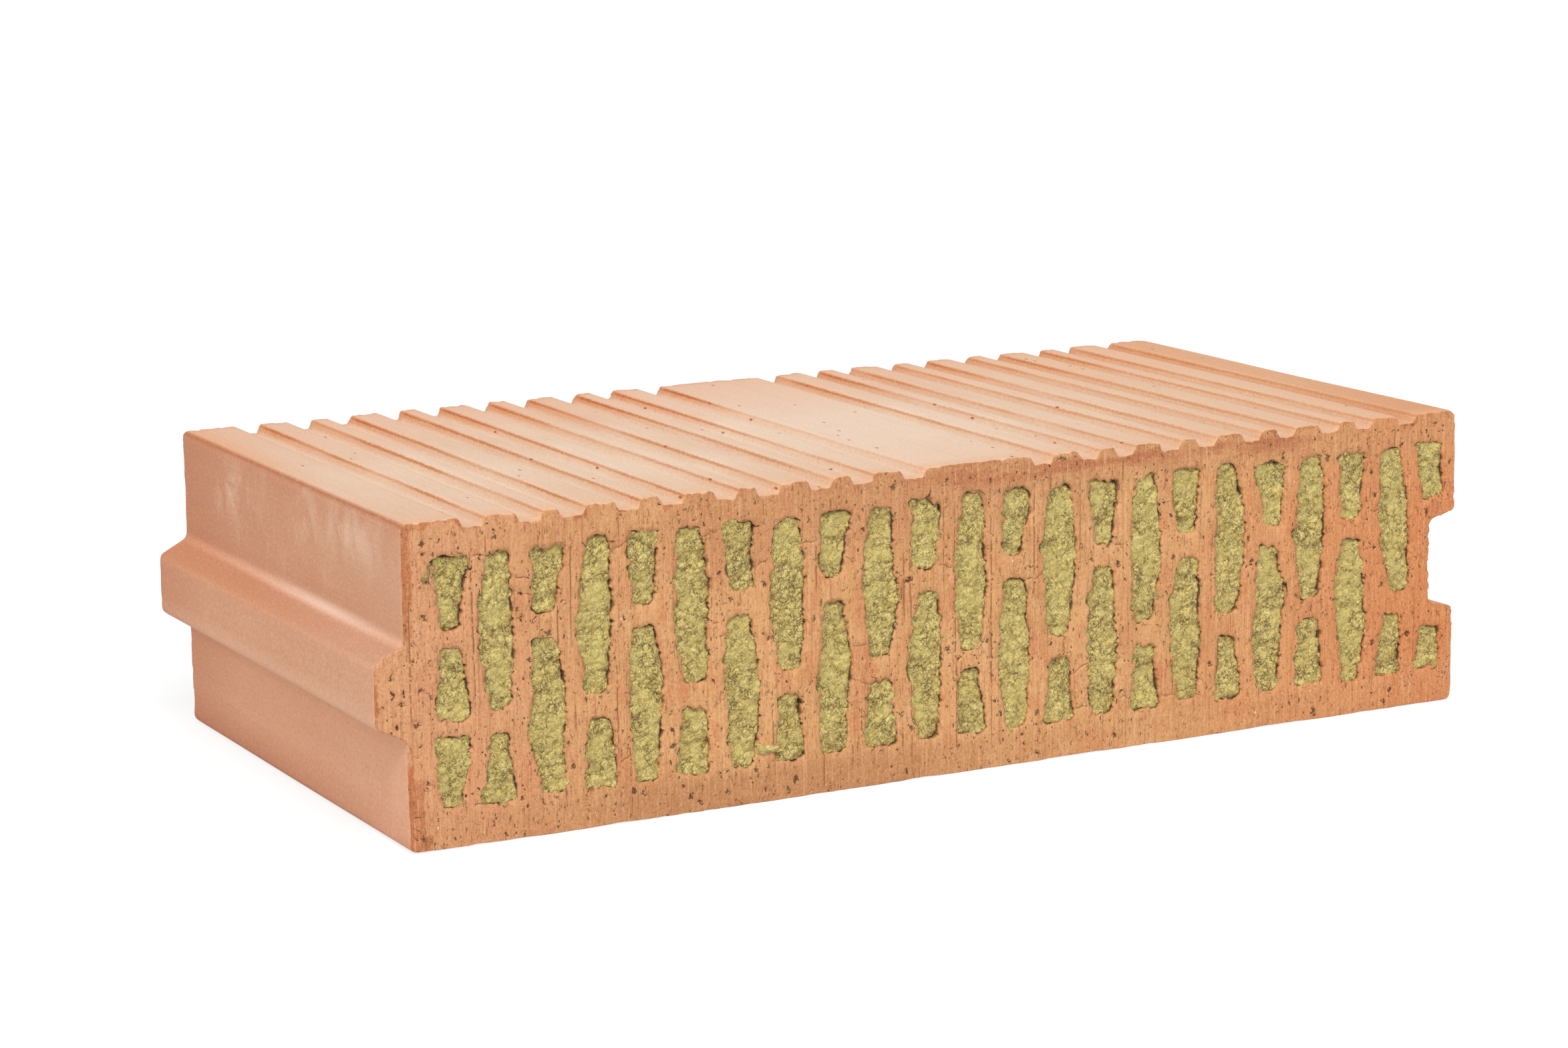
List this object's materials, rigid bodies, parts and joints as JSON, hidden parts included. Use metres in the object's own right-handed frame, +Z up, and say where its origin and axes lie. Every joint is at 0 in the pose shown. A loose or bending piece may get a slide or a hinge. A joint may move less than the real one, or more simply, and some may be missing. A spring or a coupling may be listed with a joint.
{
  "type": "hollow clay block",
  "caption": "Extruded fired clay block with staggered cells packed with mineral wool, a combed plaster face, and a tongue and groove on its ends; for masonry walls.",
  "frame": {"origin": "middle of the plain face that the block lies on, the tongue left out", "axes": "+X along the block's length from the tongue end to the groove end; +Y along the cells, away from the bed face in the picture; +Z up, from the plain face to the combed face"},
  "size_m": [0.5097, 0.249, 0.13],
  "materials": {
    "fired_clay": "matte, rough cut",
    "mineral_wool": "loose granulate"
  },
  "bodies": {
    "root": {"clay_block": "fired_clay", "wool_plug_01_bottom": "mineral_wool", "wool_plug_01_middle": "mineral_wool", "wool_plug_01_top": "mineral_wool", "wool_plug_02_bottom": "mineral_wool", "wool_plug_02_top": "mineral_wool", "wool_plug_03_bottom": "mineral_wool", "wool_plug_03_top": "mineral_wool", "wool_plug_04_bottom": "mineral_wool", "wool_plug_04_top": "mineral_wool", "wool_plug_05_bottom": "mineral_wool", "wool_plug_05_top": "mineral_wool", "wool_plug_06_bottom": "mineral_wool", "wool_plug_06_top": "mineral_wool", "wool_plug_07_bottom": "mineral_wool", "wool_plug_07_top": "mineral_wool", "wool_plug_08_bottom": "mineral_wool", "wool_plug_08_top": "mineral_wool", "wool_plug_09_bottom": "mineral_wool", "wool_plug_09_top": "mineral_wool", "wool_plug_10_bottom": "mineral_wool", "wool_plug_10_top": "mineral_wool", "wool_plug_11_bottom": "mineral_wool", "wool_plug_11_top": "mineral_wool", "wool_plug_12_bottom": "mineral_wool", "wool_plug_12_top": "mineral_wool", "wool_plug_13_bottom": "mineral_wool", "wool_plug_13_top": "mineral_wool", "wool_plug_14_bottom": "mineral_wool", "wool_plug_14_top": "mineral_wool", "wool_plug_15_bottom": "mineral_wool", "wool_plug_15_top": "mineral_wool", "wool_plug_16_bottom": "mineral_wool", "wool_plug_16_top": "mineral_wool", "wool_plug_17_bottom": "mineral_wool", "wool_plug_17_top": "mineral_wool", "wool_plug_18_bottom": "mineral_wool", "wool_plug_18_top": "mineral_wool", "wool_plug_19_bottom": "mineral_wool", "wool_plug_19_top": "mineral_wool", "wool_plug_20_bottom": "mineral_wool", "wool_plug_20_top": "mineral_wool", "wool_plug_21_bottom": "mineral_wool", "wool_plug_21_top": "mineral_wool", "wool_plug_22_bottom": "mineral_wool", "wool_plug_22_top": "mineral_wool", "wool_plug_23_bottom": "mineral_wool", "wool_plug_23_top": "mineral_wool"}
  },
  "joints": []
}
